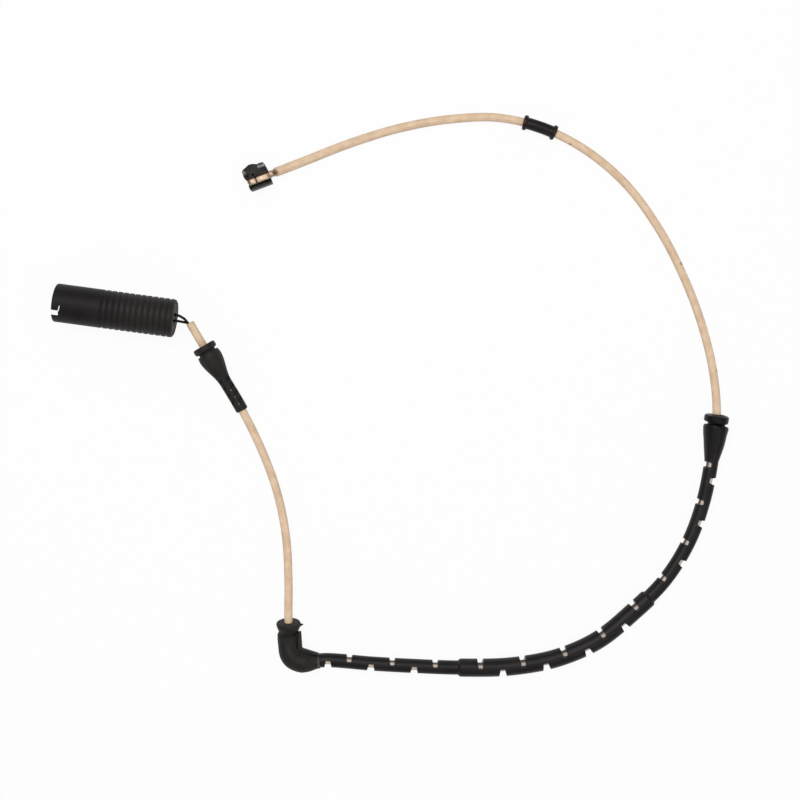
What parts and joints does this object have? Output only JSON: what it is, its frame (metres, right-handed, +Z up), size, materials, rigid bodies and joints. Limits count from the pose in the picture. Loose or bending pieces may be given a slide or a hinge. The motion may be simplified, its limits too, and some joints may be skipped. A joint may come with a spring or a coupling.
{
  "type": "brake pad wear sensor",
  "caption": "Brake pad wear sensor: ribbed round plug, sheathed cable with rubber grommets and a notched bending guide, and a moulded wear head that clips to the pad.",
  "frame": {"origin": "on the surface it rests on, below the middle of the box round everything but the sheath", "axes": "+X along the longest side, from the plug's mouth towards the guide; +Z up from the surface"},
  "size_m": [0.2811, 0.2356, 0.016],
  "materials": {
    "black_plastic": "matte",
    "black_rubber": "matte",
    "brown_rubber": "matte",
    "grey_plastic": "matte",
    "cream_sheath": "satin",
    "brown_jacket": "satin",
    "brass": "polished",
    "copper": "satin",
    "bronze": "satin"
  },
  "bodies": {
    "root": {"connector_shell": "black_plastic", "contact_carrier": "grey_plastic", "face_seal": "brown_rubber", "contact_socket_1": "brass", "contact_socket_2": "brass", "rear_seal": "brown_rubber", "core_wire_1": "black_plastic", "core_wire_2": "black_plastic", "cable_sheath": "cream_sheath", "bulb_grommet": "black_rubber", "elbow_grommet": "black_rubber", "notched_guide": "black_plastic", "spool_sleeve": "black_plastic", "sensor_body": "black_plastic", "inner_jacket": "brown_jacket", "crimp_ferrule": "copper", "retaining_spring": "bronze", "wear_loop": "copper"}
  },
  "joints": []
}
